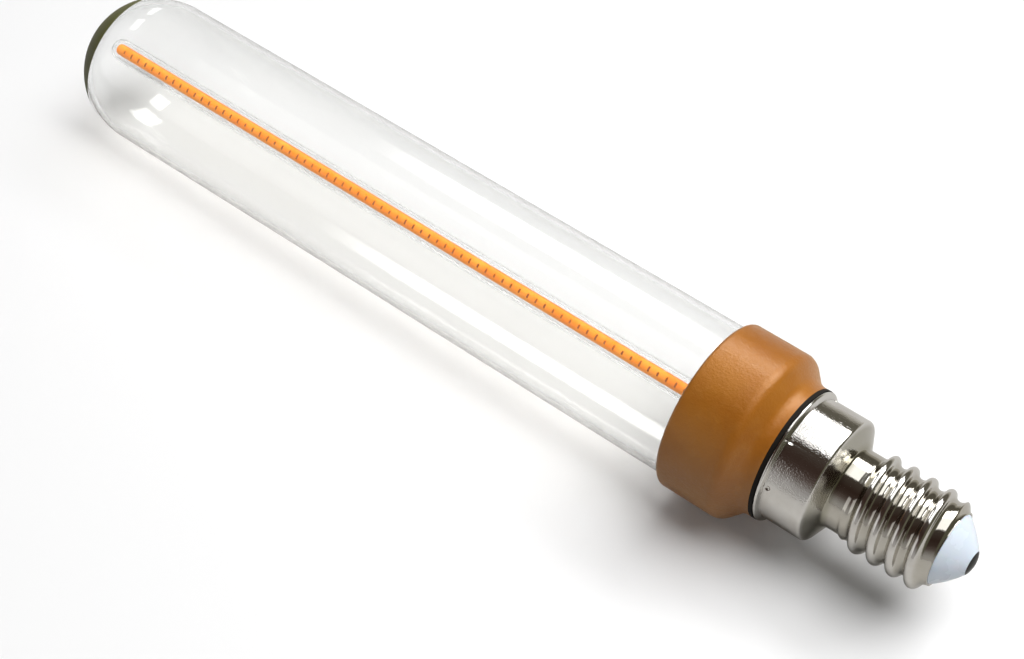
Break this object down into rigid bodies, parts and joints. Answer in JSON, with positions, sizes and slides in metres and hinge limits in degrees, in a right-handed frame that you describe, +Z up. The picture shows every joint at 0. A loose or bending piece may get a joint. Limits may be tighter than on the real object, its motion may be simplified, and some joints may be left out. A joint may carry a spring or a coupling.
{
  "type": "tubular filament lamp",
  "caption": "Tubular filament lamp: clear glass tube with a domed end and metal crown cap, one straight filament in a glass sleeve, moulded collar and small rolled screw cap.",
  "frame": {"origin": "on the lamp's long axis, in the plane of the metal cap's open lip", "axes": "+X along the lamp towards the centre contact, +Z up as it lies on a table, +Y across"},
  "size_m": [0.1562, 0.0252, 0.0252],
  "materials": {
    "clear_glass": "clear and polished",
    "olive_metal": "thin olive coat over brushed metal",
    "brown_moulding": "matte caramel brown",
    "black_gasket": "matte black",
    "cement": "rough",
    "nickel": "bright nickel",
    "pale_insulator": "smooth, pale bluish white",
    "dark_contact": "dull dark grey",
    "solder": "satin",
    "strip_metal": "plated",
    "light_chip": "glossy",
    "tab_metal": "satin",
    "phosphor_gel": "soft gel, slightly glossy",
    "wire_metal": "drawn wire",
    "liner_plastic": "matte white",
    "board": "green laminate",
    "can_metal": "satin can",
    "black_moulding": "matte black",
    "resistor_body": "lacquered"
  },
  "bodies": {
    "root": {"glass_envelope": "clear_glass", "crown_cap": "olive_metal", "collar": "brown_moulding", "gasket_ring": "black_gasket", "capping_cement": "cement", "screw_shell": "nickel", "insulator": "pale_insulator", "centre_contact": "dark_contact", "contact_solder": "solder", "filament_sleeve": "clear_glass", "filament_substrate": "strip_metal", "led_chips": "light_chip", "filament_tip_tab": "tab_metal", "filament_base_tab": "tab_metal", "filament_phosphor": "phosphor_gel", "lead_in_wire": "wire_metal", "return_wire": "wire_metal", "glass_stem": "clear_glass", "insulating_liner": "liner_plastic", "driver_board": "board", "smoothing_capacitor": "can_metal", "bridge_rectifier": "black_moulding", "fusible_resistor": "resistor_body", "driver_chip": "black_moulding", "chip_resistors": "black_moulding", "contact_lead": "wire_metal", "side_lead": "wire_metal", "side_solder": "solder"}
  },
  "joints": []
}
